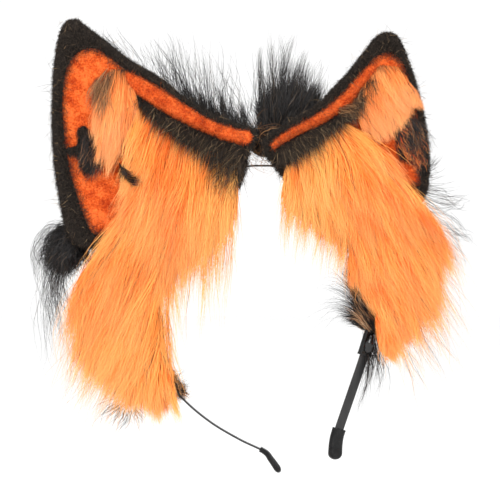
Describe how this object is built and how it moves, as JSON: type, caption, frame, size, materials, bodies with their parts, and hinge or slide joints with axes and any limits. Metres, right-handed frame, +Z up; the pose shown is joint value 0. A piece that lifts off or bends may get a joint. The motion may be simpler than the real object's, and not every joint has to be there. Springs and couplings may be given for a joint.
{
  "type": "animal ears headband",
  "caption": "Costume headband of black sprung steel with upright felt-lined fox ears, long orange fur hanging at the sides and black fur behind.",
  "frame": {"origin": "middle of the band's flat underside at the crown, where it rests on the head", "axes": "+Z up through the crown, -Y the way the wearer faces, +X to the right as seen from the front"},
  "size_m": [0.2015, 0.0458, 0.2187],
  "materials": {
    "painted_spring_steel": "satin black paint",
    "soft_black_plastic": "satin",
    "hot_melt_glue": "glossy, set in an uneven drop",
    "black_plush": "short dense pile",
    "ear_foam": "matt stiff foam sheet",
    "orange_felt": "short napped felt",
    "orange_fur": "long straight pile with pale tips",
    "light_orange_fur": "soft medium pile with dark roots",
    "black_fur": "long pile with a slight gloss"
  },
  "bodies": {
    "headpiece": {"band_crown": "painted_spring_steel", "left_base_wrap": "black_plush", "right_base_wrap": "black_plush", "left_ear_shell": "black_plush", "left_ear_core": "ear_foam", "left_ear_lining": "orange_felt", "left_ear_piping": "orange_felt", "left_ear_fold": "black_plush", "left_ear_outer_patch": "black_plush", "left_ear_inner_patch": "black_plush", "left_ear_tuft": "light_orange_fur", "left_cheek_fur": "orange_fur", "left_back_fur": "black_fur", "right_ear_shell": "black_plush", "right_ear_core": "ear_foam", "right_ear_lining": "orange_felt", "right_ear_piping": "orange_felt", "right_ear_fold": "black_plush", "right_ear_outer_patch": "black_plush", "right_ear_tuft": "light_orange_fur", "right_cheek_fur": "orange_fur", "right_back_fur": "black_fur", "left_corner_fur": "black_fur", "crown_back_fur": "black_fur"},
    "left_leg": {"band_left_leg": "painted_spring_steel", "left_end_cap": "soft_black_plastic", "left_sleeve": "soft_black_plastic", "left_glue_bead": "hot_melt_glue", "left_side_fur": "black_fur"},
    "right_leg": {"band_right_leg": "painted_spring_steel", "right_end_cap": "soft_black_plastic", "right_sleeve": "soft_black_plastic", "right_glue_bead": "hot_melt_glue", "right_side_fur": "black_fur"}
  },
  "joints": [
    {"name": "left_leg_flex", "type": "hinge", "parent": "headpiece", "child": "left_leg", "pos_m": [-0.04996, 0, -0.04413], "axis": [0, 1, 0], "range_deg": [0, 20], "stiffness_Nm_per_rad": 0.5},
    {"name": "right_leg_flex", "type": "hinge", "parent": "headpiece", "child": "right_leg", "pos_m": [0.05121, 0, -0.04413], "axis": [0, -1, 0], "range_deg": [0, 20], "stiffness_Nm_per_rad": 0.5}
  ]
}
